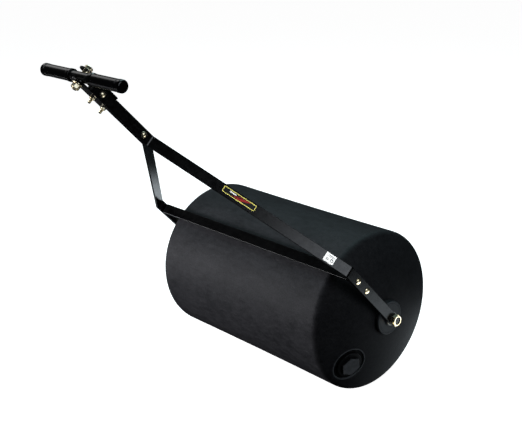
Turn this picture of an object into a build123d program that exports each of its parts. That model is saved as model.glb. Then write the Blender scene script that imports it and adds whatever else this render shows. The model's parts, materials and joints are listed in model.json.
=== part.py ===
from build123d import *
from math import sin, cos, asin, radians, degrees, sqrt, pi
import os

# Lawn roller: a hollow rotomoulded drum that turns on a through axle between the
# legs of a flat-bar A-frame, with a two-plate tow head that holds a push handle.
# Millimetres, +Z up.  The axle lies along Y and the handle points towards -X.

# ---------------------------------------------------------------- dimensions
# position of the axle: the origin is below the middle of the whole roller
DRUM_R = 228.6            # 18 in drum
AXLE_X = 242.055          # centres the roller's outline on the origin
AXLE_Z = DRUM_R
FRAME_ANGLE = 45.2        # rise of the frame from the floor, degrees

# drum
DOME_R = 500.0            # radius of the domed ends
DOME_APEX = 380.0         # where the domes would cross the axle line
RIM_R = 19.0              # rounding between the rolling face and the dome
WAIST = 1.5               # hollow of the rolling face at mid length
WALL = 6.0
BOSS_R = 49.0
BOSS_FACE = 390.5
AXLE_TUBE_R = 22.0        # moulded-through axle tube, outside
AXLE_TUBE_BORE = 16.5

# fill opening and its plug, on the near end
PLUG_RADIUS = 164.0       # from the axle
PLUG_AZIMUTH = -135.0     # down and towards the handle side
RECESS_R = 48.5
RECESS_DEPTH = 6.0
FILL_BORE_R = 25.0
FILL_NECK_R = 33.0
PLUG_HEX_R = 29.5         # across corners / 2
PLUG_TOP = 10.0           # above the recess outline

# axle and its hardware
ROD_R = 9.525             # 3/4 in rod
RUNNING = 0.08            # radial clearance of the bushings
BUSH_FLANGE = 3.0
SPACER_IN = 393.9
LEG_IN = 398.0            # inner face of a leg
BAR_T = 6.0               # flat bar thickness
BAR_H = 30.0              # flat bar width
LEG_OUT = LEG_IN + BAR_T
AXLE_NUT_H = 14.0
AXLE_NUT_AF = 28.6
ROD_HALF = LEG_OUT + 11.5

# frame plan, distances u along the frame from the axle
LEG_BEND_U = 260.0
TONGUE_BEND_U = 714.0
TONGUE_END_U = 935.0
TONGUE_GAP = 8.0          # between the two tongue bars
CROSS_OUT_U = 240.0       # outer face of the cross bar
FLANGE_END_U = 134.0
LEG_BOLT_U = (212.0, 162.0)
TONGUE_BOLT_U = (740.0, 902.0)
PLATE_BOLT_U = (913.5, 873.5)
HANDLE_U = 967.0
HANDLE_N = -2.2           # the tube rests on the lower hitch plate

# tow head plates
PLATE_W = 38.0
PLATE_T = 3.0
PLATE_START_U = 864.0
PLATE_FACE = BAR_H / 2 + PLATE_T

# push handle
TUBE_R = 12.7
TUBE_WALL = 2.0
TUBE_HALF = 164.5
GRIP_R = 15.2
GRIP_LEN = 128.0
GRIP_END = 168.0
GRIP_GROOVE = 150.0       # start of the groove before the end bead
BEAD_R = 15.9
HANDLE_BOLT_R = 6.35
HEX_AF = 19.0
HEAD_H = 8.5
HANDLE_NUT_H = 11.2
TOP_WASHER_T = 2.2
SPRING_T = 3.2            # spring washer under the lower plate
LOW_WASHER_T = 2.2
BOLT_TIP = 37.8

# small hardware
BOLT_R = 4.0
BOLT_HOLE_R = 4.3
NUT_AF = 13.0

# ---------------------------------------------------------------- frame axes
A = radians(FRAME_ANGLE)
U = Vector(-cos(A), 0, sin(A))          # from the axle to the handle
N = Vector(sin(A), 0, cos(A))           # square to the frame, upwards
O = Vector(AXLE_X, 0, AXLE_Z)


def at(u, y, n):
    return O + U * u + N * n + Vector(0, y, 0)


def frame_plane(n):
    # local x along the frame, local y towards the near end (-Y)
    return Plane(origin=at(0, 0, n), x_dir=U, z_dir=N)


def side_plane(u, y, n, out):
    # a plane square to the axle that faces +Y (out = 1) or -Y (out = -1)
    return Plane(origin=at(u, y, n), x_dir=U, z_dir=Vector(0, out, 0))


def head_plane(u, n, out, y=0.0):
    # a plane parallel to the frame that faces up (out = 1) or down (out = -1)
    return Plane(origin=at(u, y, n), x_dir=U, z_dir=N * out)


def finish(part, label):
    part.part.label = label
    export_step(part.part, "parts/" + label + ".step")


os.makedirs("parts", exist_ok=True)

# ---------------------------------------------------------------- drum shell
dome_c = DOME_APEX - DOME_R             # centre of the dome on the axle line


def dome_y(r, radius=DOME_R):
    return dome_c + sqrt(radius ** 2 - r ** 2)


corner_y = dome_c + sqrt((DOME_R - RIM_R) ** 2 - (DRUM_R - RIM_R) ** 2)
corner_dir = Vector(corner_y - dome_c, DRUM_R - RIM_R).normalized()


def rim_points(inset):
    # dome/rim tangent point, rim mid point, rim/rolling-face tangent point
    r = RIM_R - inset
    c = Vector(corner_y, DRUM_R - RIM_R)
    a0 = asin(corner_dir.Y)
    mid = (a0 + pi / 2) / 2
    p1 = c + corner_dir * r
    p2 = c + Vector(cos(mid), sin(mid)) * r
    p3 = c + Vector(0, r)
    return p1, p2, p3


plug_er = Vector(cos(radians(PLUG_AZIMUTH)), 0, sin(radians(PLUG_AZIMUTH)))
plug_et = Vector(0.5 ** 0.5, 0, -(0.5 ** 0.5))
plug_tilt = asin(PLUG_RADIUS / DOME_R)
PLUG_AXIS = plug_er * sin(plug_tilt) + Vector(0, -1, 0) * cos(plug_tilt)
PLUG_ORIGIN = O + plug_er * PLUG_RADIUS + Vector(0, -dome_y(PLUG_RADIUS), 0)


def plug_plane(h):
    return Plane(origin=PLUG_ORIGIN + PLUG_AXIS * h, x_dir=plug_et, z_dir=PLUG_AXIS)


drum_profile = Plane(origin=O, x_dir=(0, 1, 0), z_dir=(1, 0, 0))
drum_axis = Axis(O, (0, 1, 0))

with BuildPart() as drum_shell:
    with BuildSketch(drum_profile):
        with BuildLine():
            p1, p2, p3 = rim_points(0)
            bd = dome_y(BOSS_R)
            dm = dome_y(150.0)
            Polyline((-BOSS_FACE, AXLE_TUBE_BORE), (-BOSS_FACE, BOSS_R - 3),
                     (-BOSS_FACE + 3, BOSS_R), (-bd, BOSS_R))
            ThreePointArc((-bd, BOSS_R), (-dm, 150.0), (-p1.X, p1.Y))
            ThreePointArc((-p1.X, p1.Y), (-p2.X, p2.Y), (-p3.X, p3.Y))
            ThreePointArc((-p3.X, p3.Y), (0, DRUM_R - WAIST), (p3.X, p3.Y))
            ThreePointArc((p3.X, p3.Y), (p2.X, p2.Y), (p1.X, p1.Y))
            ThreePointArc((p1.X, p1.Y), (dm, 150.0), (bd, BOSS_R))
            Polyline((bd, BOSS_R), (BOSS_FACE - 3, BOSS_R), (BOSS_FACE, BOSS_R - 3),
                     (BOSS_FACE, AXLE_TUBE_BORE), (-BOSS_FACE, AXLE_TUBE_BORE))
        make_face()
    revolve(axis=drum_axis)
    # a shallow ring groove round each boss
    with BuildSketch(drum_profile):
        for side in (-1, 1):
            with Locations((side * (BOSS_FACE - 0.4), 41.5)):
                Rectangle(1.4, 0.9)
    revolve(axis=drum_axis, mode=Mode.SUBTRACT)
    # the water space, with the axle tube through its middle
    with BuildSketch(drum_profile):
        with BuildLine():
            q1, q2, q3 = rim_points(WALL)
            ti = dome_y(AXLE_TUBE_R, DOME_R - WALL)
            tm = dome_y(150.0, DOME_R - WALL)
            Line((-ti, AXLE_TUBE_R), (ti, AXLE_TUBE_R))
            ThreePointArc((ti, AXLE_TUBE_R), (tm, 150.0), (q1.X, q1.Y))
            ThreePointArc((q1.X, q1.Y), (q2.X, q2.Y), (q3.X, q3.Y))
            ThreePointArc((q3.X, q3.Y), (0, DRUM_R - WALL - WAIST), (-q3.X, q3.Y))
            ThreePointArc((-q3.X, q3.Y), (-q2.X, q2.Y), (-q1.X, q1.Y))
            ThreePointArc((-q1.X, q1.Y), (-tm, 150.0), (-ti, AXLE_TUBE_R))
        make_face()
    revolve(axis=drum_axis, mode=Mode.SUBTRACT)
    # thickened seat and threaded neck of the fill opening
    with BuildSketch(plug_plane(-RECESS_DEPTH)):
        Circle(RECESS_R + 6)
    extrude(amount=-7)
    with BuildSketch(plug_plane(-RECESS_DEPTH)):
        Circle(FILL_NECK_R)
    extrude(amount=-22)
    with BuildSketch(plug_plane(-RECESS_DEPTH)):
        Circle(RECESS_R)
    extrude(amount=30, mode=Mode.SUBTRACT)
    with BuildSketch(plug_plane(10)):
        Circle(FILL_BORE_R)
    extrude(amount=-60, mode=Mode.SUBTRACT)
finish(drum_shell, "drum_shell")

# ---------------------------------------------------------------- fill plug
GASKET_T = 2.5
with BuildPart() as fill_plug_gasket:
    with BuildSketch(plug_plane(-RECESS_DEPTH)):
        Circle(36.0)
        Circle(26.5, mode=Mode.SUBTRACT)
    extrude(amount=GASKET_T)
finish(fill_plug_gasket, "fill_plug_gasket")

PLUG_FLANGE_T = 4.5
flange_top = -RECESS_DEPTH + GASKET_T + PLUG_FLANGE_T
with BuildPart() as fill_plug:
    # threaded stub
    with BuildSketch(plug_plane(-RECESS_DEPTH + GASKET_T)):
        Circle(FILL_BORE_R - 0.35)
    extrude(amount=-(GASKET_T + 20))
    # round flange that presses the gasket
    with BuildSketch(plug_plane(-RECESS_DEPTH + GASKET_T)):
        Circle(38.0)
    extrude(amount=PLUG_FLANGE_T)
    fillet(fill_plug.faces().sort_by(Axis(PLUG_ORIGIN, PLUG_AXIS))[-1].edges(), 1.5)
    # hexagonal head
    with BuildSketch(plug_plane(flange_top)):
        RegularPolygon(PLUG_HEX_R, 6, rotation=30)
    extrude(amount=PLUG_TOP - flange_top)
    fillet(fill_plug.faces().sort_by(Axis(PLUG_ORIGIN, PLUG_AXIS))[-1].edges(), 1.6)
    # hollow underside of the moulding
    with BuildSketch(plug_plane(-RECESS_DEPTH - 20)):
        Circle(FILL_BORE_R - 4.5)
    extrude(amount=24, mode=Mode.SUBTRACT)
finish(fill_plug, "fill_plug")

# ---------------------------------------------------------------- axle
for side, word in ((-1, "near"), (1, "far")):
    with BuildPart() as axle_bushing:
        with BuildSketch(Plane(origin=O + Vector(0, side * BOSS_FACE, 0), x_dir=(1, 0, 0), z_dir=(0, side, 0))):
            Circle(AXLE_TUBE_BORE)
        extrude(amount=-42)
        with BuildSketch(Plane(origin=O + Vector(0, side * BOSS_FACE, 0), x_dir=(1, 0, 0), z_dir=(0, side, 0))):
            Circle(21.0)
        extrude(amount=BUSH_FLANGE)
        with BuildSketch(Plane(origin=O + Vector(0, side * (BOSS_FACE + 5), 0), x_dir=(1, 0, 0), z_dir=(0, side, 0))):
            Circle(ROD_R + RUNNING)
        extrude(amount=-60, mode=Mode.SUBTRACT)
    finish(axle_bushing, "axle_bushing_" + word)

with BuildPart() as axle_rod:
    with BuildSketch(Plane(origin=O + Vector(0, -ROD_HALF, 0), x_dir=(1, 0, 0), z_dir=(0, 1, 0))):
        Circle(ROD_R)
    extrude(amount=2 * ROD_HALF)
    chamfer(axle_rod.edges().filter_by(GeomType.CIRCLE), 1.2)
    # lathe centres in both ends
    for side in (-1, 1):
        with BuildSketch(Plane(origin=O + Vector(0, side * ROD_HALF, 0), x_dir=(1, 0, 0), z_dir=(0, side, 0))):
            Circle(2.6)
        extrude(amount=-3.5, taper=35, mode=Mode.SUBTRACT)
finish(axle_rod, "axle_rod")

with BuildPart() as axle_spacers:
    for side in (-1, 1):
        with BuildSketch(Plane(origin=O + Vector(0, side * SPACER_IN, 0), x_dir=(1, 0, 0), z_dir=(0, side, 0))):
            Circle(19.0)
            Circle(ROD_R + 0.3, mode=Mode.SUBTRACT)
        extrude(amount=LEG_IN - SPACER_IN)
finish(axle_spacers, "axle_spacers")

for side, word in ((-1, "near"), (1, "far")):
    nut_axis = Axis(O, (0, side, 0))
    with BuildPart() as axle_nut:
        with BuildSketch(Plane(origin=O + Vector(0, side * LEG_OUT, 0), x_dir=(1, 0, 0), z_dir=(0, side, 0))):
            RegularPolygon(AXLE_NUT_AF / 2, 6, major_radius=False, rotation=12)
        extrude(amount=10.5)
        # corners turned down to a cone towards the collar
        with BuildSketch(Plane(origin=O + Vector(0, side * LEG_OUT, 0), x_dir=(1, 0, 0), z_dir=(0, side, 0))):
            Circle(18.2)
        extrude(amount=10.5, taper=10, mode=Mode.INTERSECT)
        with BuildSketch(Plane(origin=O + Vector(0, side * (LEG_OUT + 10.5), 0), x_dir=(1, 0, 0), z_dir=(0, side, 0))):
            Circle(AXLE_NUT_AF / 2)
        extrude(amount=AXLE_NUT_H - 10.5)
        fillet(axle_nut.faces().sort_by(nut_axis)[-1].edges(), 1.2)
        # bore, then the wider seat of the locking ring
        with BuildSketch(Plane(origin=O + Vector(0, side * (LEG_OUT - 1), 0), x_dir=(1, 0, 0), z_dir=(0, side, 0))):
            Circle(ROD_R + 0.05)
        extrude(amount=20, mode=Mode.SUBTRACT)
        with BuildSketch(Plane(origin=O + Vector(0, side * (LEG_OUT + 9.0), 0), x_dir=(1, 0, 0), z_dir=(0, side, 0))):
            Circle(11.2)
        extrude(amount=10, mode=Mode.SUBTRACT)
    finish(axle_nut, "axle_nut_" + word)

with BuildPart() as axle_lock_rings:
    for side in (-1, 1):
        with BuildSketch(Plane(origin=O + Vector(0, side * (LEG_OUT + 9.0), 0), x_dir=(1, 0, 0), z_dir=(0, side, 0))):
            Circle(11.15)
            Circle(ROD_R + 0.05, mode=Mode.SUBTRACT)
        extrude(amount=3.6)
finish(axle_lock_rings, "axle_lock_rings")

# ---------------------------------------------------------------- A-frame arms
leg_mid = LEG_IN + BAR_T / 2
tongue_mid = TONGUE_GAP / 2 + BAR_T / 2
BEND_R = 11.0
for side, word in ((1, "near"), (-1, "far")):
    with BuildPart() as frame_arm:
        with BuildSketch(frame_plane(-BAR_H / 2)):
            with BuildLine():
                FilletPolyline(
                    (-15.0, side * leg_mid), (LEG_BEND_U, side * leg_mid),
                    (TONGUE_BEND_U, side * tongue_mid), (TONGUE_END_U, side * tongue_mid),
                    radius=BEND_R)
            trace(line_width=BAR_T)
        extrude(amount=BAR_H)
        across = frame_arm.edges().filter_by(Axis.Y)
        fillet(across.sort_by(Axis(O, U))[:2], 14.0)
        across = frame_arm.edges().filter_by(Axis.Y)
        fillet(across.sort_by(Axis(O, U))[-2:], 4.0)
        # the rolled edges of the bar, one tangent chain round both rounded ends
        fillet(frame_arm.faces().sort_by(Axis(O, N))[-1].edges(), 0.9)
        with Locations(side_plane(0, -side * leg_mid, 0, 1)):
            Hole(ROD_R + 0.3, depth=20)
        with Locations(*[side_plane(u, -side * (leg_mid + 10), 0, -side) for u in LEG_BOLT_U]):
            Hole(BOLT_HOLE_R, depth=30)
        with Locations(*[side_plane(u, -side * (tongue_mid + 8), 0, -side) for u in TONGUE_BOLT_U]):
            Hole(BOLT_HOLE_R, depth=20)
        with Locations(side_plane(0, -side * (leg_mid + 10), 0, -side)):
            Hole(ROD_R + 0.3, depth=30)
    finish(frame_arm, "frame_arm_" + word)

# ---------------------------------------------------------------- cross bar
cross_mid = CROSS_OUT_U - BAR_T / 2
flange_mid = LEG_IN - BAR_T / 2
with BuildPart() as cross_bar:
    with BuildSketch(frame_plane(-BAR_H / 2)):
        with BuildLine():
            FilletPolyline(
                (FLANGE_END_U, flange_mid), (cross_mid, flange_mid),
                (cross_mid, -flange_mid), (FLANGE_END_U, -flange_mid), radius=8.0)
        trace(line_width=BAR_T)
    extrude(amount=BAR_H)
    across = cross_bar.edges().filter_by(Axis.Y).sort_by(Axis(O, U))
    fillet(across[:4], 6.0)
    fillet(cross_bar.faces().sort_by(Axis(O, N))[-1].edges(), 0.9)
    with Locations(*[side_plane(u, s * (LEG_IN + 3), 0, s) for u in LEG_BOLT_U for s in (-1, 1)]):
        Hole(BOLT_HOLE_R, depth=30)
finish(cross_bar, "cross_bar")


# ---------------------------------------------------------------- bolts and nuts
def round_head_bolt(length, head_r=8.8, head_h=4.6, r=BOLT_R):
    # domed head above Z = 0, plain shank below, turned about Z
    dome = (head_r ** 2 + (head_h - 0.9) ** 2) / (2 * (head_h - 0.9))
    half = asin(head_r / dome) / 2
    with BuildPart() as bolt:
        with BuildSketch(Plane.XZ):
            with BuildLine():
                Polyline((0, -length), (r - 0.8, -length), (r, -length + 0.8), (r, 0),
                         (head_r, 0), (head_r, 0.9))
                ThreePointArc((head_r, 0.9), (dome * sin(half), head_h - dome + dome * cos(half)), (0, head_h))
                Line((0, head_h), (0, -length))
            make_face()
        revolve(axis=Axis.Z)
    return bolt.part


def hex_nut(af=NUT_AF, height=7.6, bore=BOLT_R + 0.05, collar=True, cone=9):
    # seats on Z = 0 and stands up along +Z
    with BuildPart() as nut:
        with BuildSketch():
            RegularPolygon(af / 2, 6, major_radius=False)
        extrude(amount=height - (2.0 if collar else 0))
        with BuildSketch():
            Circle(af * 0.5774 + 0.15)
        extrude(amount=height - (2.0 if collar else 0), taper=cone, mode=Mode.INTERSECT)
        if collar:
            with BuildSketch(Plane.XY.offset(height - 2.0)):
                Circle(af / 2 - 0.4)
            extrude(amount=2.0)
            fillet(nut.faces().sort_by(Axis.Z)[-1].edges(), 0.7)
        with BuildSketch(Plane.XY.offset(-1)):
            Circle(bore)
        extrude(amount=height + 2, mode=Mode.SUBTRACT)
    return nut.part


leg_bolt = round_head_bolt(BAR_T * 2 + 12.0)
tongue_bolt = round_head_bolt(2 * BAR_T + TONGUE_GAP + 11.0)
plate_bolt = round_head_bolt(BAR_H + 2 * PLATE_T + 18.5)
nut = hex_nut()

with BuildPart() as leg_bolts:
    with Locations(*[side_plane(u, s * LEG_OUT, 0, s) for u in LEG_BOLT_U for s in (-1, 1)]):
        add(leg_bolt)
finish(leg_bolts, "leg_bolts")

with BuildPart() as leg_nuts:
    with Locations(*[side_plane(u, s * (LEG_IN - BAR_T), 0, -s) for u in LEG_BOLT_U for s in (-1, 1)]):
        add(nut)
finish(leg_nuts, "leg_nuts")

tongue_out = TONGUE_GAP / 2 + BAR_T
with BuildPart() as tongue_bolts:
    with Locations(*[side_plane(u, -tongue_out, 0, -1) for u in TONGUE_BOLT_U]):
        add(tongue_bolt)
finish(tongue_bolts, "tongue_bolts")

with BuildPart() as tongue_nuts:
    with Locations(*[side_plane(u, tongue_out, 0, 1) for u in TONGUE_BOLT_U]):
        add(nut)
finish(tongue_nuts, "tongue_nuts")

with BuildPart() as tongue_spacers:
    for u in TONGUE_BOLT_U:
        with BuildSketch(side_plane(u, -TONGUE_GAP / 2, 0, 1)):
            Circle(6.4)
            Circle(BOLT_R + 0.2, mode=Mode.SUBTRACT)
        extrude(amount=TONGUE_GAP)
finish(tongue_spacers, "tongue_spacers")

with BuildPart() as plate_bolts:
    with Locations(*[head_plane(u, PLATE_FACE, 1) for u in PLATE_BOLT_U]):
        add(plate_bolt)
finish(plate_bolts, "plate_bolts")

with BuildPart() as plate_nuts:
    with Locations(*[head_plane(u, -PLATE_FACE, -1) for u in PLATE_BOLT_U]):
        add(nut)
finish(plate_nuts, "plate_nuts")

# ---------------------------------------------------------------- tow head plates
for out, word in ((1, "top"), (-1, "bottom")):
    with BuildPart() as head_plate:
        with BuildSketch(head_plane(HANDLE_U, out * BAR_H / 2, out)):
            with Locations(((PLATE_START_U - HANDLE_U) / 2, 0)):
                Rectangle(HANDLE_U - PLATE_START_U, PLATE_W)
            Circle(PLATE_W / 2)
        extrude(amount=PLATE_T)
        corners = head_plate.edges().filter_by(lambda e: e.geom_type == GeomType.LINE and abs(e.length - PLATE_T) < 0.01)
        fillet(corners.sort_by(Axis(O, U))[:2], 7.0)
        fillet(head_plate.faces().sort_by(Axis(O, N))[-1 if out > 0 else 0].edges(), 0.7)
        with Locations(*[head_plane(u, out * (PLATE_FACE + 4), out) for u in PLATE_BOLT_U]):
            Hole(BOLT_HOLE_R, depth=14)
        with Locations(head_plane(HANDLE_U, out * (PLATE_FACE + 4), out)):
            Hole(HANDLE_BOLT_R + 0.25, depth=14)
    finish(head_plate, "hitch_plate_" + word)

# ---------------------------------------------------------------- push handle
tube_axis = Axis(at(HANDLE_U, 0, HANDLE_N), (0, 1, 0))
with BuildPart() as handle_tube:
    with BuildSketch(side_plane(HANDLE_U, -TUBE_HALF, HANDLE_N, 1)):
        Circle(TUBE_R)
        Circle(TUBE_R - TUBE_WALL, mode=Mode.SUBTRACT)
    extrude(amount=2 * TUBE_HALF)
    with Locations(head_plane(HANDLE_U, 25, 1)):
        Hole(HANDLE_BOLT_R + 0.2, depth=60)
finish(handle_tube, "handle_tube")

for side, word in ((-1, "near"), (1, "far")):
    grip_plane = Plane(origin=at(HANDLE_U, 0, HANDLE_N), x_dir=(0, side, 0), z_dir=Vector(0, side, 0).cross(N))
    start = GRIP_END - GRIP_LEN
    with BuildPart() as grip:
        # radius runs along local y, which is +/-N
        with BuildSketch(grip_plane):
            with BuildLine():
                FilletPolyline(
                    (start, TUBE_R + 0.05), (start, GRIP_R + 1.2), (start + 9, GRIP_R + 1.2),
                    (start + 13, GRIP_R), (GRIP_GROOVE, GRIP_R), (GRIP_GROOVE + 0.7, GRIP_R - 1.3),
                    (GRIP_GROOVE + 2.6, GRIP_R - 1.3), (GRIP_GROOVE + 3.4, BEAD_R),
                    (GRIP_END, BEAD_R), (GRIP_END, 0),
                    radius=[1.2, 1.2, 2.5, 0.5, 0.4, 0.4, 0.8, 5.0])
                Polyline((GRIP_END, 0), (TUBE_HALF, 0), (TUBE_HALF, TUBE_R + 0.05), (start, TUBE_R + 0.05))
            make_face()
        revolve(axis=tube_axis)
    finish(grip, "grip_" + word)

# collar on the bolt that holds the tube down on the lower plate; its lower end
# is shaped to the tube
with BuildPart() as handle_collar:
    with BuildSketch(head_plane(HANDLE_U, 7.0, 1)):
        Circle(8.4)
    extrude(amount=BAR_H / 2 - 7.0)
    with BuildSketch(side_plane(HANDLE_U, -20, HANDLE_N, 1)):
        Circle(TUBE_R + 0.03)
    extrude(amount=40, mode=Mode.SUBTRACT)
    with Locations(head_plane(HANDLE_U, 25, 1)):
        Hole(HANDLE_BOLT_R + 0.2, depth=60)
finish(handle_collar, "handle_collar")

head_seat = PLATE_FACE + TOP_WASHER_T
with BuildPart() as handle_bolt:
    with BuildSketch(head_plane(HANDLE_U, head_seat, 1)):
        RegularPolygon(HEX_AF / 2, 6, major_radius=False, rotation=20)
    extrude(amount=HEAD_H)
    with BuildSketch(head_plane(HANDLE_U, head_seat, 1)):
        Circle(12.0)
    extrude(amount=HEAD_H, taper=14, mode=Mode.INTERSECT)
    with BuildSketch(head_plane(HANDLE_U, head_seat, -1)):
        Circle(HANDLE_BOLT_R)
    extrude(amount=head_seat + BOLT_TIP)
    chamfer(handle_bolt.faces().sort_by(Axis(O, N))[0].edges(), 1.0)
finish(handle_bolt, "handle_bolt")

with BuildPart() as handle_washer_top:
    with BuildSketch(head_plane(HANDLE_U, PLATE_FACE, 1)):
        Circle(13.0)
        Circle(HANDLE_BOLT_R + 0.3, mode=Mode.SUBTRACT)
    extrude(amount=TOP_WASHER_T)
finish(handle_washer_top, "handle_washer_top")

# split spring washer under the lower plate
with BuildPart() as handle_spring_washer:
    with BuildSketch(head_plane(HANDLE_U, -PLATE_FACE, -1)):
        Circle(10.6)
        Circle(HANDLE_BOLT_R + 0.4, mode=Mode.SUBTRACT)
        with Locations((-8.5, 0)):
            Rectangle(7.0, 1.4, rotation=25, mode=Mode.SUBTRACT)
    extrude(amount=SPRING_T)
finish(handle_spring_washer, "handle_spring_washer")

with BuildPart() as handle_washer_low:
    with BuildSketch(head_plane(HANDLE_U, -(PLATE_FACE + SPRING_T), -1)):
        Circle(13.5)
        Circle(HANDLE_BOLT_R + 0.3, mode=Mode.SUBTRACT)
    extrude(amount=LOW_WASHER_T)
finish(handle_washer_low, "handle_washer_low")

nut_seat = PLATE_FACE + SPRING_T + LOW_WASHER_T
with BuildPart() as handle_nut:
    with Locations(head_plane(HANDLE_U, -nut_seat, -1)):
        add(hex_nut(HEX_AF, HANDLE_NUT_H, HANDLE_BOLT_R + 0.06, collar=False, cone=5).rotate(Axis.Z, 28))
finish(handle_nut, "handle_nut")

# ---------------------------------------------------------------- labels
# both lie on the outer face of the near arm, which runs askew from leg to tongue
arm_du = TONGUE_BEND_U - LEG_BEND_U
arm_dy = leg_mid - tongue_mid
arm_len = sqrt(arm_du ** 2 + arm_dy ** 2)
ARM_DIR = U * (arm_du / arm_len) + Vector(0, arm_dy / arm_len, 0)
ARM_OUT = U * (arm_dy / arm_len) - Vector(0, arm_du / arm_len, 0)
arm_start = at(LEG_BEND_U, -leg_mid, 0) + ARM_OUT * (BAR_T / 2)
LABEL_T = 0.4


def label_plane(s, n):
    return Plane(origin=arm_start + ARM_DIR * s + N * n, x_dir=ARM_DIR, z_dir=ARM_OUT)


with BuildPart() as badge_label:
    with BuildSketch(label_plane(334.0, 2.0)):
        RectangleRounded(100.0, 19.5, 4.0)
    extrude(amount=LABEL_T)
finish(badge_label, "badge_label")

with BuildPart() as rating_label:
    with BuildSketch(label_plane(60.0, 1.0)):
        RectangleRounded(29.0, 24.0, 1.0)
    extrude(amount=LABEL_T)
finish(rating_label, "rating_label")
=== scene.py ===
import json
import math
import random

import bmesh
import bpy
from mathutils import Matrix, Vector

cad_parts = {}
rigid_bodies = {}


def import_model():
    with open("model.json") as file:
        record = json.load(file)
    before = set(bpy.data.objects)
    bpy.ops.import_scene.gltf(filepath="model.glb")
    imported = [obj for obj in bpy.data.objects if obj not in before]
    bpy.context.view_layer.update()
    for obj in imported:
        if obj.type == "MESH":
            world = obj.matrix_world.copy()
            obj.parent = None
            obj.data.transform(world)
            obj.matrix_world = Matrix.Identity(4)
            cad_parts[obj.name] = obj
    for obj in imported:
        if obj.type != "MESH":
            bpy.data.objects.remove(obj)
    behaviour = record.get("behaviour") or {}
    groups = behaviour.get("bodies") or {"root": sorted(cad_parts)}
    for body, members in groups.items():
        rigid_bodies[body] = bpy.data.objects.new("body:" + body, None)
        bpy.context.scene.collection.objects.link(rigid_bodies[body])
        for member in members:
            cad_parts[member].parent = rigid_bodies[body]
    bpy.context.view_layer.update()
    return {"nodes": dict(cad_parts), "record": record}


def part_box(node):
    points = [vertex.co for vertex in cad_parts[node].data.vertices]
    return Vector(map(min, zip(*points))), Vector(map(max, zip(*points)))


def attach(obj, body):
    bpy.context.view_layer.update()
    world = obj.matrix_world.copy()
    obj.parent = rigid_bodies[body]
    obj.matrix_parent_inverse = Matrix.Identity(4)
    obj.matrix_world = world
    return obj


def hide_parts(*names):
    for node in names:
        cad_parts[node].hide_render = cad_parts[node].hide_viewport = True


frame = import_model()
random.seed(7)

# ------------------------------------------------------------------ shared frame
A = math.radians(45.2)
U = Vector((-math.cos(A), 0, math.sin(A)))      # axle to handle
N = Vector((math.sin(A), 0, math.cos(A)))       # square to the frame, upwards
Y = Vector((0, 1, 0))
lo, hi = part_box("axle_rod")
AXLE = (lo + hi) / 2


def at(u, y, n):
    return AXLE + U * (u / 1000) + N * (n / 1000) + Y * (y / 1000)


# ------------------------------------------------------------------ camera
cam = bpy.data.objects.new("camera", bpy.data.cameras.new("camera"))
bpy.context.scene.collection.objects.link(cam)
cam.location = AXLE + Vector((-1.86802, -1.92165, 1.05166))
cam.rotation_euler = (math.radians(72.2013), 0, math.radians(-42.301))
cam.data.sensor_width = 36
cam.data.lens = 65.82
cam.data.clip_end = 100
cam.data.dof.use_dof = False
bpy.context.scene.camera = cam

bpy.context.scene.view_settings.view_transform = "Standard"
bpy.context.scene.view_settings.look = "None"


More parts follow.
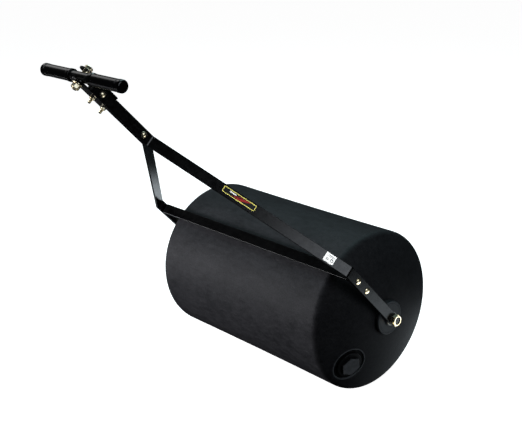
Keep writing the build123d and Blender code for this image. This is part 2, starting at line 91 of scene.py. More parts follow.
# ------------------------------------------------------------------ node helpers
class Nodes:
    """A material's node tree, with short calls for the nodes used here."""

    def __init__(self, name):
        self.mat = bpy.data.materials.new(name)
        self.mat.use_nodes = True
        self.tree = self.mat.node_tree
        self.tree.nodes.clear()
        self.out = self.add("ShaderNodeOutputMaterial")
        self.bsdf = self.add("ShaderNodeBsdfPrincipled")
        self.link(self.bsdf.outputs[0], self.out.inputs["Surface"])
        self.coords = self.add("ShaderNodeTexCoord").outputs["Object"]

    def add(self, kind, **props):
        n = self.tree.nodes.new(kind)
        for k, v in props.items():
            setattr(n, k, v)
        return n

    def link(self, a, b):
        self.tree.links.new(a, b)

    def put(self, socket, value):
        if isinstance(value, (int, float)):
            socket.default_value = value
        elif isinstance(value, (tuple, list)):
            v = tuple(value)
            socket.default_value = v if len(v) == len(socket.default_value) else v + (1.0,)
        else:
            self.link(value, socket)

    def noise(self, scale, detail=3.0, rough=0.55, vector=None, distortion=0.0):
        n = self.add("ShaderNodeTexNoise")
        self.put(n.inputs["Scale"], scale)
        self.put(n.inputs["Detail"], detail)
        self.put(n.inputs["Roughness"], rough)
        self.put(n.inputs["Distortion"], distortion)
        self.link(vector or self.coords, n.inputs["Vector"])
        return n.outputs["Fac"]

    def stretch(self, scale, vector=None):
        n = self.add("ShaderNodeMapping")
        n.inputs["Scale"].default_value = scale
        self.link(vector or self.coords, n.inputs["Vector"])
        return n.outputs[0]

    def math(self, op, a, b=0.0, c=None):
        n = self.add("ShaderNodeMath", operation=op)
        self.put(n.inputs[0], a)
        self.put(n.inputs[1], b)
        if c is not None:
            self.put(n.inputs[2], c)
        return n.outputs[0]

    def range(self, v, a, b, c, d, smooth=False):
        n = self.add("ShaderNodeMapRange")
        if smooth:
            n.interpolation_type = "SMOOTHSTEP"
        self.put(n.inputs["Value"], v)
        for k, x in zip(("From Min", "From Max", "To Min", "To Max"), (a, b, c, d)):
            n.inputs[k].default_value = x
        return n.outputs[0]

    def mix(self, fac, a, b, blend="MIX"):
        n = self.add("ShaderNodeMix", data_type="RGBA", blend_type=blend)
        self.put(n.inputs[0], fac)
        self.put(n.inputs[6], a)
        self.put(n.inputs[7], b)
        return n.outputs[2]

    def bump(self, height, distance, strength=1.0, normal=None):
        n = self.add("ShaderNodeBump")
        n.inputs["Strength"].default_value = strength
        n.inputs["Distance"].default_value = distance
        self.put(n.inputs["Height"], height)
        if normal is not None:
            self.link(normal, n.inputs["Normal"])
        return n.outputs[0]

    def edges(self, lo, hi):
        """0 on flats and 1 on convex edges, from the mesh's own curvature."""
        g = self.add("ShaderNodeNewGeometry")
        return self.range(g.outputs["Pointiness"], lo, hi, 0.0, 1.0)

    def set(self, **values):
        for k, v in values.items():
            self.put(self.bsdf.inputs[k.replace("_", " ")], v)
        return self.mat


def grime(m, amount, scale=9.0):
    """Large soft patches, 0..amount."""
    return m.math("MULTIPLY", m.range(m.noise(scale, 4, 0.6), 0.42, 0.72, 0, 1, True), amount)


# the fill plug: where its axis leaves the domed end, and its direction
PLUG_AXIS = Vector((-0.70711 * 0.328, -math.sqrt(1 - 0.328 ** 2), -0.70711 * 0.328))
PLUG_AT = AXLE + Vector((-0.70711 * 0.164, 0.120 - math.sqrt(0.5 ** 2 - 0.164 ** 2), -0.70711 * 0.164))


def plug_place(m):
    """Distance from the fill plug's axis, and height along it above the domed end, in metres."""
    v = m.add("ShaderNodeVectorMath", operation="SUBTRACT")
    m.link(m.coords, v.inputs[0])
    v.inputs[1].default_value = PLUG_AT
    d = m.add("ShaderNodeVectorMath", operation="DOT_PRODUCT")
    m.link(v.outputs[0], d.inputs[0])
    d.inputs[1].default_value = PLUG_AXIS
    up = d.outputs["Value"]
    q = m.add("ShaderNodeVectorMath", operation="DOT_PRODUCT")
    m.link(v.outputs[0], q.inputs[0])
    m.link(v.outputs[0], q.inputs[1])
    off = m.math("SQRT", m.math("MAXIMUM", m.math("SUBTRACT", q.outputs["Value"], m.math("MULTIPLY", up, up)), 0.0))
    return off, up


# ------------------------------------------------------------------ materials
def drum_plastic():
    m = Nodes("drum_polyethylene")
    # mottling of the moulded skin in three sizes, drawn out a little along the roll
    broad = m.noise(16, 4, 0.6, m.stretch((1.0, 0.6, 1.0)))
    mottle = m.noise(85, 5, 0.68, m.stretch((1.0, 0.45, 1.0)), 0.4)
    fine = m.noise(260, 3, 0.6)
    speck = m.noise(620, 2, 0.5)
    tone = m.math("ADD", m.math("MULTIPLY", mottle, 0.42), m.math("MULTIPLY", fine, 0.36))
    tone = m.math("ADD", tone, m.math("MULTIPLY", broad, 0.22))
    col = m.mix(m.range(tone, 0.37, 0.64, 0, 1), (0.0070, 0.0072, 0.0083), (0.0265, 0.0266, 0.0290))
    # pale scuffs where the drum has been handled
    scuff = m.math("MULTIPLY", m.range(m.noise(70, 6, 0.72, m.stretch((1, 0.3, 1))), 0.60, 0.76, 0, 1, True), 0.45)
    col = m.mix(scuff, col, (0.055, 0.055, 0.057))
    # the flat boss faces: a paler colour as a painted highlight for the light they reflect, and a lower roughness
    place = m.add("ShaderNodeSeparateXYZ")
    m.link(m.coords, place.inputs[0])
    dx = m.math("SUBTRACT", place.outputs["X"], AXLE.x)
    dz = m.math("SUBTRACT", place.outputs["Z"], AXLE.z)
    radius = m.math("SQRT", m.math("ADD", m.math("MULTIPLY", dx, dx), m.math("MULTIPLY", dz, dz)))
    boss_finish_and_sheen = m.math("MULTIPLY", m.range(radius, 0.0485, 0.0490, 1, 0),
                  m.range(m.math("ABSOLUTE", place.outputs["Y"]), 0.3885, 0.3900, 0, 1))
    col = m.mix(m.math("MULTIPLY", boss_finish_and_sheen, 0.8), col, m.mix(mottle, (0.058, 0.064, 0.068), (0.098, 0.106, 0.111)))
    # the raised rim round the fill recess is coloured paler as a painted highlight, and the recess itself darker as
    # painted shade
    off, up = plug_place(m)
    near_plug = m.range(up, -0.012, -0.010, 0, 1)
    rim = m.math("MULTIPLY", m.range(off, 0.0476, 0.0484, 0, 1), m.range(off, 0.0492, 0.0535, 1, 0, True))
    rim = m.math("MULTIPLY", m.math("MULTIPLY", rim, near_plug), m.math("ADD", 0.35, mottle))
    col = m.mix(rim, col, (0.130, 0.140, 0.147))
    recess_shade = m.math("MULTIPLY", m.range(off, 0.0478, 0.0484, 1, 0), near_plug)
    col = m.mix(recess_shade, col, (0.0035, 0.0036, 0.0040))
    rough = m.range(m.math("ADD", fine, m.math("MULTIPLY", mottle, 0.6)), 0.5, 1.1, 0.50, 0.66)
    rough = m.math("SUBTRACT", rough, m.math("MULTIPLY", boss_finish_and_sheen, 0.22))
    peel = m.bump(m.noise(75, 4, 0.6), 0.0010, 0.30)
    grain = m.bump(m.math("ADD", fine, m.math("MULTIPLY", speck, 0.7)), 0.00040, 0.70, peel)
    return m.set(Base_Color=col, Roughness=rough, Normal=grain, IOR=1.5, Specular_IOR_Level=0.12)


def plug_plastic():
    m = Nodes("plug_polyethylene")
    fine = m.noise(320, 3, 0.6)
    blotch = m.noise(70, 4)
    off, up = plug_place(m)
    # painted light: the top of the hexagon is coloured paler as if lit, its sides and the flange dark as painted
    # shade
    top = m.math("MULTIPLY", m.range(up, 0.0075, 0.0098, 0, 1), m.range(off, 0.0235, 0.0285, 1, 0.7))
    col = m.mix(m.range(blotch, 0.3, 0.7, 0, 1), (0.0040, 0.0041, 0.0046), (0.0075, 0.0077, 0.0085))
    col = m.mix(top, col, m.mix(m.range(blotch, 0.35, 0.65, 0, 1), (0.085, 0.090, 0.094), (0.135, 0.142, 0.149)))
    return m.set(Base_Color=col, Roughness=m.range(fine, 0.3, 0.7, 0.42, 0.56),
                 Normal=m.bump(fine, 0.00025, 0.5), Specular_IOR_Level=0.25)


def rubber():
    m = Nodes("gasket_rubber")
    fine = m.noise(500, 2)
    col = m.mix(fine, (0.010, 0.010, 0.010), (0.022, 0.022, 0.021))
    return m.set(Base_Color=col, Roughness=m.range(fine, 0.3, 0.7, 0.62, 0.78), Normal=m.bump(fine, 0.0002, 0.5))


def nylon():
    m = Nodes("bushing_nylon")
    turned = m.noise(900, 2, 0.5, m.stretch((0.2, 1, 0.2)))
    col = m.mix(turned, (0.040, 0.040, 0.042), (0.085, 0.085, 0.088))
    return m.set(Base_Color=col, Roughness=m.range(turned, 0.3, 0.7, 0.36, 0.5), Normal=m.bump(turned, 0.0001, 0.4))


def powder_coat():
    m = Nodes("powder_coat_black")
    wave = m.noise(95, 3, 0.5)
    peel = m.noise(420, 2, 0.5)
    col = m.mix(m.range(m.noise(18, 4), 0.35, 0.7, 0, 1), (0.0004, 0.0004, 0.0005), (0.0012, 0.0012, 0.0014))
    # the coat is thin and a little burnished along the edges, with rare chips; the paler edges are partly a painted
    # highlight
    edge = m.edges(0.515, 0.56)
    worn_and_highlit_edges = m.math("MULTIPLY", edge, m.range(m.noise(130, 5, 0.7), 0.45, 0.75, 0.0, 0.55))
    col = m.mix(worn_and_highlit_edges, col, (0.035, 0.035, 0.037))
    dust = grime(m, 0.008, 14)
    col = m.mix(dust, col, (0.05, 0.05, 0.05))
    rough = m.math("ADD", m.range(m.noise(60, 4, 0.6), 0.3, 0.7, 0.17, 0.25), m.math("MULTIPLY", dust, 0.9))
    n = m.bump(wave, 0.0005, 0.10)
    n = m.bump(peel, 0.00012, 0.30, n)
    return m.set(Base_Color=col, Roughness=rough, Normal=n, IOR=1.52, Specular_IOR_Level=0.5)


def zinc():
    m = Nodes("yellow_zinc")
    hue = m.range(m.noise(70, 3, 0.6, distortion=0.6), 0.35, 0.65, 0, 1)
    col = m.mix(hue, (0.72, 0.62, 0.38), (0.88, 0.83, 0.64))
    col = m.mix(m.math("MULTIPLY", m.range(m.noise(160, 3), 0.52, 0.7, 0, 1), 0.35), col, (0.72, 0.50, 0.46))
    stain = m.range(m.noise(210, 5, 0.7), 0.58, 0.78, 0, 0.5, True)
    col = m.mix(stain, col, (0.20, 0.19, 0.10))
    rough = m.range(m.noise(300, 4, 0.65), 0.3, 0.7, 0.20, 0.32)
    return m.set(Base_Color=col, Metallic=0.96, Roughness=rough, Normal=m.bump(m.noise(700, 3), 0.00006, 0.5))


def bare_steel():
    m = Nodes("axle_steel_bare")
    turned = m.noise(700, 3, 0.6, m.stretch((0.5, 2.2, 0.5)))
    col = m.mix(turned, (0.13, 0.13, 0.125), (0.27, 0.265, 0.255))
    rust = m.range(m.noise(160, 5, 0.7), 0.60, 0.78, 0, 0.35, True)
    col = m.mix(rust, col, (0.16, 0.11, 0.075))
    return m.set(Base_Color=col, Metallic=1.0, Roughness=m.range(turned, 0.3, 0.7, 0.28, 0.44),
                 Normal=m.bump(turned, 0.00008, 0.4))


def dark_steel():
    m = Nodes("spring_steel_black")
    col = m.mix(m.range(m.noise(300, 4), 0.35, 0.65, 0, 1), (0.020, 0.019, 0.018), (0.050, 0.047, 0.043))
    return m.set(Base_Color=col, Metallic=0.6, Roughness=0.42, Normal=m.bump(m.noise(900, 3), 0.00005, 0.4))


def vinyl():
    m = Nodes("grip_dipped_vinyl")
    soft = m.noise(45, 3, 0.5, m.stretch((1, 0.5, 1)))
    fine = m.noise(380, 3, 0.6)
    col = m.mix(soft, (0.0007, 0.0007, 0.0008), (0.0014, 0.0014, 0.0016))
    dust = grime(m, 0.012, 60)
    col = m.mix(dust, col, (0.06, 0.06, 0.06))
    n = m.bump(soft, 0.0010, 0.10)
    n = m.bump(fine, 0.00004, 0.15, n)
    return m.set(Base_Color=col, Roughness=m.range(fine, 0.3, 0.7, 0.13, 0.19), Normal=n, IOR=1.5)


def film(name, colour, second=None, rough=0.30):
    """Printed label film: the ink's colour with the faint tooth of the film."""
    m = Nodes(name)
    tooth = m.noise(900, 3)
    second = second or tuple(c * 0.80 for c in colour)
    col = m.mix(m.range(m.noise(140, 4), 0.3, 0.7, 0, 1), colour, second)
    return m.set(Base_Color=col, Roughness=m.range(tooth, 0.3, 0.7, rough - 0.04, rough + 0.06),
                 Normal=m.bump(tooth, 0.00005, 0.4))


DRUM, PLUG, RUBBER, NYLON = drum_plastic(), plug_plastic(), rubber(), nylon()
PAINT, ZINC, STEEL, VINYL = powder_coat(), zinc(), bare_steel(), vinyl()
SPRING = dark_steel()
FLOOR_GLOW = 0.95
FLOOR_LIT = 1.0
look = {
    "drum_plastic": DRUM, "plug_plastic": PLUG, "gasket_rubber": RUBBER, "bushing_nylon": NYLON,
    "frame_paint": PAINT, "axle_steel": STEEL, "zinc_steel": ZINC, "grip_vinyl": VINYL,
    "badge_film": film("film_black", (0.012, 0.012, 0.013)),
    "rating_film": film("film_white", (0.97, 0.97, 0.96), (0.94, 0.94, 0.93), 0.30),
}
for sub in frame["record"]["subparts"]:
    o = frame["nodes"][sub["node"]]
    o.data.materials.clear()
    o.data.materials.append(look[sub["material_slot"]])

# the rolled lower edges of the flat bars, coloured pale as a painted highlight line along them
def painted_edge_highlight():
    m = Nodes("powder_coat_rubbed_edge")
    patchy = m.noise(70, 5, 0.7)
    col = m.mix(m.range(patchy, 0.38, 0.66, 0, 1), (0.030, 0.030, 0.032), (0.160, 0.165, 0.170))
    return m.set(Base_Color=col, Roughness=m.range(patchy, 0.3, 0.7, 0.24, 0.40), Specular_IOR_Level=0.6,
                 Normal=m.bump(m.noise(600, 3), 0.00006, 0.4))


EDGE_HIGHLIGHT = painted_edge_highlight()
for name in ("cross_bar", "frame_arm_near", "frame_arm_far", "hitch_plate_top", "hitch_plate_bottom"):
    b = frame["nodes"][name].modifiers.new("rolled_edge", "BEVEL")
    b.width = 0.0007
    b.segments = 2
    b.limit_method = "ANGLE"
    b.angle_limit = math.radians(55)
    b.harden_normals = True
    frame["nodes"][name].data.materials.append(EDGE_HIGHLIGHT)
    b.material = 1

# ------------------------------------------------------------------ shaped hardware
def frame_matrix(origin, x, z):
    y = z.cross(x)
    return Matrix(((x.x, y.x, z.x, origin.x), (x.y, y.y, z.y, origin.y), (x.z, y.z, z.z, origin.z), (0, 0, 0, 1)))


def side_frame(u, y, out):
    return frame_matrix(at(u, y, 0), U, Y * out)


def head_frame(u, n, out):
    return frame_matrix(at(u, 0, n), U, N * out)


class Turned:
    """A mesh of stacked rings about local Z; each ring's radius may vary round the turn."""

    def __init__(self, segments=60):
        self.bm = bmesh.new()
        self.seg = segments

    def ring(self, m, radius, z):
        loop = []
        for k in range(self.seg):
            t = 2 * math.pi * k / self.seg
            r = radius(t) if callable(radius) else radius
            zz = z(t) if callable(z) else z
            loop.append(self.bm.verts.new(m @ Vector((r * math.cos(t) / 1000, r * math.sin(t) / 1000, zz / 1000))))
        return loop

    def solid(self, m, rings, closed=False):
        """rings: (radius, z) pairs. Closed joins the last ring to the first (a bored piece)."""
        loops = [self.ring(m, r, z) for r, z in rings]
        pairs = list(zip(loops, loops[1:])) + ([(loops[-1], loops[0])] if closed else [])
        for a, b in pairs:
            for k in range(self.seg):
                q = (k + 1) % self.seg
                self.bm.faces.new((a[k], a[q], b[q], b[k]))
        if not closed:
            self.bm.faces.new(list(reversed(loops[0])))
            self.bm.faces.new(loops[-1])

    def done(self, name, slot, node, body="frame", angle=32):
        bmesh.ops.recalc_face_normals(self.bm, faces=self.bm.faces)
        me = bpy.data.meshes.new(name)
        self.bm.to_mesh(me)
        self.bm.free()
        me.shade_smooth()
        me.set_sharp_from_angle(angle=math.radians(angle))
        o = bpy.data.objects.new(name, me)
        o.data.materials.append(look[slot])
        bpy.context.scene.collection.objects.link(o)
        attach(o, body)
        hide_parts(node)
        return o


def hexagon(af, turn):
    def r(t):
        k = (t - turn) % (math.pi / 3) - math.pi / 6
        return af / 2 / math.cos(k)
    return r


def cut(shape, limit):
    return lambda t: min(shape(t), limit)


def thread(r, depth, pitch, z0, z1, per=8, hand=1, fade=1.5):
    """Rings of a rolled thread between z0 and z1, run out softly at both ends."""
    count = max(4, int(abs(z1 - z0) / pitch * per))
    out = []
    for i in range(count + 1):
        z = z0 + (z1 - z0) * i / count
        run = min(1.0, abs(z - z0) / (fade * pitch), abs(z1 - z) / (fade * pitch))

        def radius(t, z=z, run=run):
            w = (z / pitch * hand - t / (2 * math.pi)) % 1.0
            tri = abs(2 * w - 1)
            tri = min(1.0, max(0.0, (tri - 0.12) / 0.74))
            return r - depth * run * tri
        out.append((radius, z))
    return out


def dome_bolt(part, m, length, thread_len, r=4.0, head_r=8.8, head_h=4.6):
    rings = [(r - 1.5, -length), (r - 0.75, -length + 0.35)]
    rings += thread(r, 0.62, 1.25, -length + 0.8, -length + thread_len)
    rings += [(r, -length + thread_len + 0.6), (r, 0.0), (head_r - 0.5, 0.0), (head_r, 0.35), (head_r, 0.85)]
    h = head_h - 0.9
    dome = (head_r ** 2 + h ** 2) / (2 * h)
    full = math.asin(head_r / dome)
    for i in range(1, 10):
        a = full * (1 - i / 9.6)
        rings.append((dome * math.sin(a), head_h - dome + dome * math.cos(a)))
    part.solid(m, rings)


def nut_rings(af, height, r, pitch, turn=0.0, collar=0.0, chamfer=1.0):
    """A chamfered hexagon nut that seats on Z = 0, its bore threaded."""
    hexa = hexagon(af, turn)
    corner = af / 2 / math.cos(math.pi / 6)
    body = height - collar
    rings = [(r + 0.75, 0.0), (af / 2 - 0.35, 0.0)]
    rings += [(cut(hexa, af / 2 - 0.35 + (corner - af / 2 + 0.45) * k / 5), 0.02 + chamfer * 0.62 * k / 5) for k in range(1, 6)]
    rings += [(hexa, chamfer), (hexa, body * 0.5), (hexa, body - chamfer)]
    rings += [(cut(hexa, af / 2 - 0.35 + (corner - af / 2 + 0.45) * (1 - k / 5)), body - chamfer * 0.62 * (1 - k / 5)) for k in range(0, 6)]
    if collar:
        cr = af / 2 - 0.75
        rings += [(cr + 0.25, body + 0.02), (cr, body + 0.3), (cr, height - 0.7), (cr - 0.2, height - 0.25),
                  (cr - 0.75, height), (r + 1.25, height), (r + 0.62, height - 0.35), (r + 0.30, height - 0.95)]
    else:
        rings += [(r + 0.9, body), (r + 0.1, body - 0.8)]
    bore = thread(r + 0.08, 0.6, pitch, height - 1.1, 0.7, per=6, fade=1.0)
    return rings + bore


def washer(part, m, outer, inner, t, z=0.0):
    b = min(0.35, t * 0.2)
    part.solid(m, [(inner, z + b), (inner + b, z), (outer - b, z), (outer, z + b), (outer, z + t - b),
                   (outer - b, z + t), (inner + b, z + t), (inner, z + t - b)], closed=True)


LEG_U, TONGUE_U, PLATE_U = (212.0, 162.0), (740.0, 902.0), (913.5, 873.5)
turns = [0.35, 1.9, 2.6, 4.4]

part = Turned()
for k, (u, side) in enumerate((u, side) for u in LEG_U for side in (-1, 1)):
    dome_bolt(part, side_frame(u, side * 404.0, side), 24.0, 13.0)
part.done("leg_bolts_turned", "zinc_steel", "leg_bolts")

part = Turned()
for k, (u, side) in enumerate((u, side) for u in LEG_U for side in (-1, 1)):
    part.solid(side_frame(u, side * 392.0, -side), nut_rings(13.0, 7.6, 4.0, 1.25, turns[k], 2.0), closed=True)
part.done("leg_nuts_turned", "zinc_steel", "leg_nuts")

part = Turned()
for u in TONGUE_U:
    dome_bolt(part, side_frame(u, -10.0, -1), 31.0, 16.0)
part.done("tongue_bolts_turned", "zinc_steel", "tongue_bolts")

part = Turned()
for k, u in enumerate(TONGUE_U):
    part.solid(side_frame(u, 10.0, 1), nut_rings(13.0, 7.6, 4.0, 1.25, turns[k], 2.0), closed=True)
part.done("tongue_nuts_turned", "zinc_steel", "tongue_nuts")

part = Turned()
for u in PLATE_U:
    dome_bolt(part, head_frame(u, 18.0, 1), 54.5, 24.0)
part.done("plate_bolts_turned", "zinc_steel", "plate_bolts")

part = Turned()
for k, u in enumerate(PLATE_U):
    part.solid(head_frame(u, -18.0, -1), nut_rings(13.0, 7.6, 4.0, 1.25, turns[k + 1], 2.0), closed=True)
part.done("plate_nuts_turned", "zinc_steel", "plate_nuts")

# the push handle's bolt, its head up, and the big nut below
part = Turned(72)
hexa = hexagon(19.0, math.radians(20))
m = head_frame(967.0, 20.2, 1)
rings = [(4.2, -58.0), (5.4, -57.4)] + thread(6.35, 0.95, 1.954, -56.9, -34.0)
rings += [(6.35, -33.0), (6.35, 0.0), (8.7, 0.0), (9.1, 0.35), (cut(hexa, 10.2), 0.7), (hexa, 1.0), (hexa, 5.9)]
rings += [(cut(hexa, 11.02 - 1.72 * k / 6), 5.9 + 2.2 * k / 6) for k in range(7)]
rings += [(8.9, 8.42), (6.2, 8.5), (5.9, 8.34), (1.0, 8.34)]
part.solid(m, rings)
part.done("handle_bolt_turned", "zinc_steel", "handle_bolt")

part = Turned(72)
part.solid(head_frame(967.0, -23.4, -1), nut_rings(19.0, 11.2, 6.35, 1.954, math.radians(28), 0.0, 1.7), closed=True)
part.done("handle_nut_turned", "zinc_steel", "handle_nut", "handle_nut")

part = Turned(72)
washer(part, head_frame(967.0, 18.0, 1), 13.0, 6.7, 2.2)
part.done("handle_washer_top_turned", "zinc_steel", "handle_washer_top")

part = Turned(72)
washer(part, head_frame(967.0, -21.2, -1), 13.5, 6.7, 2.2)
part.done("handle_washer_low_turned", "zinc_steel", "handle_washer_low", "nut_washer")


# a split spring washer: one turn of square wire, its ends a little apart
def spring_washer():
    bm = bmesh.new()
    m = head_frame(967.0, -18.0, -1)
    steps, loops = 60, []
    for i in range(steps + 1):
        t = math.radians(6) + (2 * math.pi - math.radians(12)) * i / steps
        lift = 0.25 * (i / steps)
        loop = []
        for r, z in ((6.9, 0.1), (10.5, 0.1), (10.6, 0.3), (10.6, 2.6), (10.5, 2.8), (6.9, 2.8)):
            loop.append(bm.verts.new(m @ Vector((r * math.cos(t) / 1000, r * math.sin(t) / 1000, (z + lift) / 1000))))
        loops.append(loop)
    for a, b in zip(loops, loops[1:]):
        for k in range(6):
            q = (k + 1) % 6
            bm.faces.new((a[k], a[q], b[q], b[k]))
    bm.faces.new(list(reversed(loops[0])))
    bm.faces.new(loops[-1])
    bmesh.ops.recalc_face_normals(bm, faces=bm.faces)
    me = bpy.data.meshes.new("handle_spring_washer_coil")
    bm.to_mesh(me)
    bm.free()
    me.shade_smooth()
    me.set_sharp_from_angle(angle=math.radians(35))
    o = bpy.data.objects.new("handle_spring_washer_coil", me)
    o.data.materials.append(SPRING)
    bpy.context.scene.collection.objects.link(o)
    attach(o, "frame")
    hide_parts("handle_spring_washer")


spring_washer()

# the axle: threaded ends with lathe centres
part = Turned(72)
m = frame_matrix(AXLE, Vector((1, 0, 0)), Vector((0, 1, 0)))
end = [(0.25, -413.3), (2.5, -415.45), (3.4, -415.5), (7.9, -415.5), (8.9, -414.6)]
thread_a = thread(9.525, 0.95, 1.588, -414.2, -398.6)
thread_b = thread(9.525, 0.95, 1.588, 398.6, 414.2)
rings = end + thread_a + [(9.525, -398.0), (9.525, -380.0), (9.525, 0.0), (9.525, 380.0), (9.525, 398.0)]
rings += thread_b + [(r, -z) for r, z in reversed(end)]
part.solid(m, rings)
part.done("axle_rod_turned", "axle_steel", "axle_rod")

# ------------------------------------------------------------------ label inks
arm_start = at(260.0, -401.0, 0)
run, drop = 454.0, 394.0
span = math.hypot(run, drop)
ARM_DIR = U * (run / span) + Y * (drop / span)
ARM_OUT = U * (drop / span) - Y * (run / span)
arm_start = arm_start + ARM_OUT * 0.003


def label_matrix(s, n):
    o = arm_start + ARM_DIR * (s / 1000) + N * (n / 1000) + ARM_OUT * 0.0004
    return frame_matrix(o, ARM_DIR, ARM_OUT)


def ink(name, m, outlines, mat, h=0.05):
    """Raised ink: each outline is a list of corner points in mm, or a pair (outer, inner)."""
    bm = bmesh.new()
    for shape in outlines:
        outer, inner = shape if isinstance(shape, tuple) else (shape, None)
        low = [bm.verts.new(m @ Vector((x / 1000, y / 1000, -0.00002))) for x, y in outer]
        top = [bm.verts.new(m @ Vector((x / 1000, y / 1000, h / 1000))) for x, y in outer]
        count = len(outer)
        for k in range(count):
            q = (k + 1) % count
            bm.faces.new((low[k], low[q], top[q], top[k]))
        if inner is None:
            bm.faces.new(top)
            bm.faces.new(list(reversed(low)))
        else:
            low2 = [bm.verts.new(m @ Vector((x / 1000, y / 1000, -0.00002))) for x, y in inner]
            top2 = [bm.verts.new(m @ Vector((x / 1000, y / 1000, h / 1000))) for x, y in inner]
            for k in range(count):
                q = (k + 1) % count
                bm.faces.new((top[k], top[q], top2[q], top2[k]))
                bm.faces.new((low2[k], low2[q], low[q], low[k]))
                bm.faces.new((top2[k], top2[q], low2[q], low2[k]))
    bmesh.ops.recalc_face_normals(bm, faces=bm.faces)
    me = bpy.data.meshes.new(name)
    bm.to_mesh(me)
    bm.free()
    o = bpy.data.objects.new(name, me)
    o.data.materials.append(mat)
    bpy.context.scene.collection.objects.link(o)
    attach(o, "frame")
    return o


def rounded(w, h, r, steps=6, cx=0.0, cy=0.0):
    pts = []
    for qx, qy, a0 in ((1, 1, 0), (-1, 1, 90), (-1, -1, 180), (1, -1, 270)):
        for k in range(steps + 1):
            a = math.radians(a0 + 90 * k / steps)
            pts.append((cx + qx * (w / 2 - r) + r * math.cos(a), cy + qy * (h / 2 - r) + r * math.sin(a)))
    return pts


def circle(r, cx, cy, steps=28):
    return [(cx + r * math.cos(2 * math.pi * k / steps), cy + r * math.sin(2 * math.pi * k / steps)) for k in range(steps)]


def slant(x0, x1, y0, y1, lean):
    return [(x0, y0), (x1, y0), (x1 + lean, y1), (x0 + lean, y1)]


badge = label_matrix(334.0, 2.0)
YELLOW = film("ink_yellow", (0.95, 0.86, 0.20), (0.88, 0.78, 0.16), 0.34)
RED = film("ink_red", (0.36, 0.016, 0.014), (0.24, 0.010, 0.010), 0.34)
PALE = film("ink_pale", (0.94, 0.94, 0.92), (0.86, 0.86, 0.85), 0.36)
GREY = film("ink_grey", (0.010, 0.010, 0.011), (0.006, 0.006, 0.007), 0.40)
ink("badge_border", badge, [(rounded(96.0, 16.4, 3.6), rounded(92.8, 13.2, 2.4))], YELLOW)
ink("badge_stripes", badge, [slant(-34.0, -15.5, -5.4, 5.4, 29.0), slant(-10.5, -6.5, -5.4, 5.4, 29.0)], RED)
ink("badge_bar", badge, [rounded(20.0, 3.0, 1.2, 4, 20.0, -2.6)], PALE, 0.07)
ink("badge_bar_small", badge, [rounded(9.0, 2.0, 0.9, 4, 36.0, -2.6)], GREY, 0.07)
rating = label_matrix(60.0, 1.0)
ink("rating_ring", rating, [(circle(4.6, -7.5, 3.6), circle(2.9, -7.5, 3.6))], GREY)
ink("rating_lines", rating,
    [rounded(9.0, 1.5, 0.5, 3, 5.0, 5.4), rounded(9.0, 1.5, 0.5, 3, 5.0, 2.0),
     rounded(22.0, 1.1, 0.4, 3, 0.0, -4.2), rounded(17.0, 1.1, 0.4, 3, -2.5, -7.4)], GREY)

# ------------------------------------------------------------------ stage
def disc(name, radius, centre, mat, ring=0.0):
    bm = bmesh.new()
    segments = 96
    rim = [bm.verts.new((radius * math.cos(2 * math.pi * k / segments), radius * math.sin(2 * math.pi * k / segments), 0))
           for k in range(segments)]
    bm.faces.new(rim)
    me = bpy.data.meshes.new(name)
    bm.to_mesh(me)
    bm.free()
    o = bpy.data.objects.new(name, me)
    o.location = centre
    o.data.materials.append(mat)
    bpy.context.scene.collection.objects.link(o)
    return o


floor_mat = Nodes("studio_floor")
floor_mat.set(Base_Color=(0.80, 0.80, 0.80), Roughness=0.95, Specular_IOR_Level=0.0,
              Emission_Color=(1.0, 1.0, 1.0), Emission_Strength=FLOOR_GLOW)
ground = disc("studio_floor", 40.0, (0, 0, -0.0005), floor_mat.mat)
ground.visible_glossy = False
ground.visible_diffuse = False
# the part of the floor that is lit, as the object's surfaces mirror it: a strip beside the drum that glows as painted
# light, fading out next to the drum as a painted shadow
sheen_mat = Nodes("studio_floor_lit")
where = sheen_mat.add("ShaderNodeSeparateXYZ")
sheen_mat.link(sheen_mat.coords, where.inputs[0])
strip = sheen_mat.math("MULTIPLY", sheen_mat.range(where.outputs["X"], 0.15, 0.62, 0, 1),
                       sheen_mat.range(where.outputs["X"], 0.77, 0.93, 1, 0, True))
strip = sheen_mat.math("MULTIPLY", strip, sheen_mat.range(sheen_mat.math("ABSOLUTE", where.outputs["Y"]), 0.85, 1.15, 1, 0, True))
sheen_mat.set(Base_Color=(0.1, 0.1, 0.1), Roughness=1.0, Specular_IOR_Level=0.0, Emission_Color=(0.90, 1.0, 1.06),
              Emission_Strength=sheen_mat.math("MULTIPLY", strip, FLOOR_LIT))
lit = disc("studio_floor_lit", 2.0, (0, 0, -0.0015), sheen_mat.mat)
lit.visible_camera = False
lit.visible_diffuse = False


def area(name, azimuth, elevation, distance, size, power, colour=(1, 1, 1), target=(0.1, 0, 0.35)):
    """A softbox. Azimuth is measured from +Y towards +X."""
    d = bpy.data.lights.new(name, "AREA")
    d.shape = "RECTANGLE"
    d.size, d.size_y = size
    d.energy = power
    d.color = colour
    o = bpy.data.objects.new(name, d)
    a, e = math.radians(azimuth), math.radians(elevation)
    way = Vector((math.sin(a) * math.cos(e), math.cos(a) * math.cos(e), math.sin(e)))
    o.location = Vector(target) + way * distance
    o.rotation_euler = (-way).to_track_quat("-Z", "Y").to_euler()
    bpy.context.scene.collection.objects.link(o)
    return o


area("softbox_left_fill", -54, 0, 2.1, (1.8, 0.7), 50, (1.0, 1.0, 1.04), (0.1, 0.18, 0.33)).visible_glossy = False
left = area("softbox_left", -56, 2, 2.3, (1.8, 1.1), 48, (1.0, 1.0, 1.04), (0.1, 0.12, 0.32))
# the low softbox leaves the grips and the handle tube dark along their lower side
shaded = bpy.data.collections.new("lit_by_softbox_left")
for name in ("grip_near", "grip_far", "handle_tube"):
    shaded.objects.link(frame["nodes"][name])
left.light_linking.receiver_collection = shaded
for item in shaded.collection_objects:
    item.light_linking.link_state = "EXCLUDE"
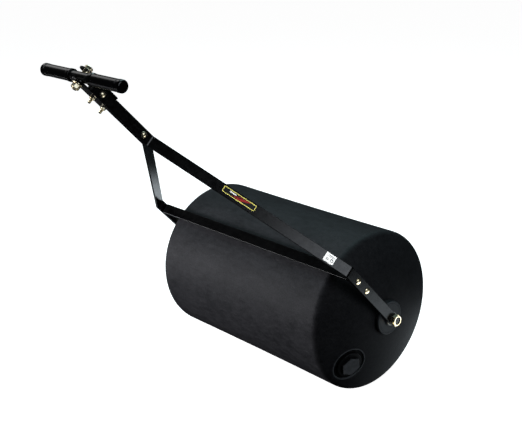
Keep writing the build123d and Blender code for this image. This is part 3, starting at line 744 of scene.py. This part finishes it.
# light coming back off the floor, which shows as a pale crescent on each plated fastener
bounce = area("floor_bounce", 0, 0, 0.0, (0.9, 0.6), 5.0, (1.0, 1.0, 0.97), (0.42, -0.78, 0.012))
bounce.rotation_euler = (math.pi, 0, 0)
bounce.visible_camera = False
plated = bpy.data.collections.new("lit_by_floor_bounce")
for o in bpy.context.scene.objects:
    if o.type == "MESH" and any(sl.material == ZINC for sl in o.material_slots):
        plated.objects.link(o)
bounce.light_linking.receiver_collection = plated
# a small lamp on the labels alone
spot = area("label_lamp", -175, 14, 2.0, (0.5, 0.5), 37, (1.0, 1.0, 1.0), (0.05, -0.25, 0.5))
spot.visible_camera = False
spot.visible_glossy = False
printed = bpy.data.collections.new("lit_by_label_lamp")
for o in bpy.context.scene.objects:
    if o.type == "MESH" and (o == frame["nodes"]["rating_label"] or any(sl.material in (YELLOW, RED, PALE) for sl in o.material_slots)):
        printed.objects.link(o)
spot.light_linking.receiver_collection = printed
area("softbox_front", -177, 23, 5.0, (2.9, 2.2), 46, (0.93, 0.99, 1.07))
area("softbox_top", 60, 74, 3.2, (2.6, 2.6), 68, (0.70, 1.0, 1.05))

world = bpy.data.worlds.new("studio")
bpy.context.scene.world = world
world.use_nodes = True
wt = world.node_tree
wt.nodes.clear()


def wn(kind, **props):
    n = wt.nodes.new(kind)
    for k, v in props.items():
        setattr(n, k, v)
    return n


def wmath(op, a, b=0.0):
    n = wn("ShaderNodeMath", operation=op)
    for s, v in zip(n.inputs, (a, b)):
        if isinstance(v, (int, float)):
            s.default_value = v
        else:
            wt.links.new(v, s)
    return n.outputs[0]


def wrange(v, a, b, c, d):
    n = wn("ShaderNodeMapRange", interpolation_type="SMOOTHSTEP")
    wt.links.new(v, n.inputs["Value"])
    for k, x in zip(("From Min", "From Max", "To Min", "To Max"), (a, b, c, d)):
        n.inputs[k].default_value = x
    return n.outputs[0]


# a white wall behind the object and a dim room elsewhere; the backdrop itself is white
tc = wn("ShaderNodeTexCoord")
sep = wn("ShaderNodeSeparateXYZ")
wt.links.new(tc.outputs["Generated"], sep.inputs[0])
WALL = math.radians(30)
across = wmath("ADD", wmath("MULTIPLY", sep.outputs["X"], math.sin(WALL)), wmath("MULTIPLY", sep.outputs["Y"], math.cos(WALL)))
wall = wmath("MULTIPLY", wrange(across, 0.50, 0.80, 0, 1), wrange(sep.outputs["Z"], 0.50, 0.66, 1, 0))
wall = wmath("MULTIPLY", wall, wrange(sep.outputs["Z"], 0.03, 0.16, 0, 1))
# the brightest part of the wall, a round patch opposite the grips
PAZ, PEL = math.radians(7), math.radians(28)
toward = wmath("ADD", wmath("MULTIPLY", sep.outputs["X"], math.sin(PAZ) * math.cos(PEL)),
               wmath("MULTIPLY", sep.outputs["Y"], math.cos(PAZ) * math.cos(PEL)))
toward = wmath("ADD", toward, wmath("MULTIPLY", sep.outputs["Z"], math.sin(PEL)))
patch = wrange(toward, 0.970, 0.990, 0, 1.0)
seen = wmath("ADD", wmath("ADD", wmath("MULTIPLY", wall, 0.10), patch), 0.010)
camera = wn("ShaderNodeLightPath").outputs["Is Camera Ray"]
level = wmath("MAXIMUM", seen, camera)
bg = wn("ShaderNodeBackground")
bg.inputs["Color"].default_value = (1, 1, 1, 1)
wt.links.new(level, bg.inputs["Strength"])
wo = wn("ShaderNodeOutputWorld")
wt.links.new(bg.outputs[0], wo.inputs[0])
